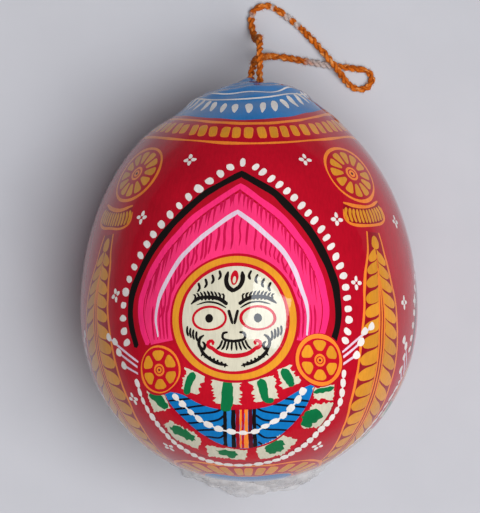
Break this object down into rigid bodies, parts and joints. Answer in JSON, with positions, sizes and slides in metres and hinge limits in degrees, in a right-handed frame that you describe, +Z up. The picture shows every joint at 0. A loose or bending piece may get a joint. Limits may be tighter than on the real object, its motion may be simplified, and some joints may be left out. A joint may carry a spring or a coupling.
{
  "type": "painted coconut deity figure",
  "caption": "Lacquered whole coconut painted with a folk deity's face under an arched headdress, lying face up, with a hanging cord in its fibre tuft and a film wad under its blunt end.",
  "frame": {"origin": "on the surface that the figure lies on, under the middle of the nut and its film wad seen from above", "axes": "+Z up out of the face, +Y along the nut from its blunt end towards its fibre tuft as it lies, +X to the right of the face as seen"},
  "size_m": [0.115, 0.1744, 0.1145],
  "materials": {
    "lacquered_paint": "hand-painted in opaque colours over the nut and lacquered to a gloss",
    "jute_cord": "rough two-ply twisted jute, dyed orange",
    "clear_film": "crumpled clear film"
  },
  "bodies": {
    "root": {"painted_coconut": "lacquered_paint", "hanging_cord": "jute_cord", "clear_film_wad": "clear_film"}
  },
  "joints": []
}
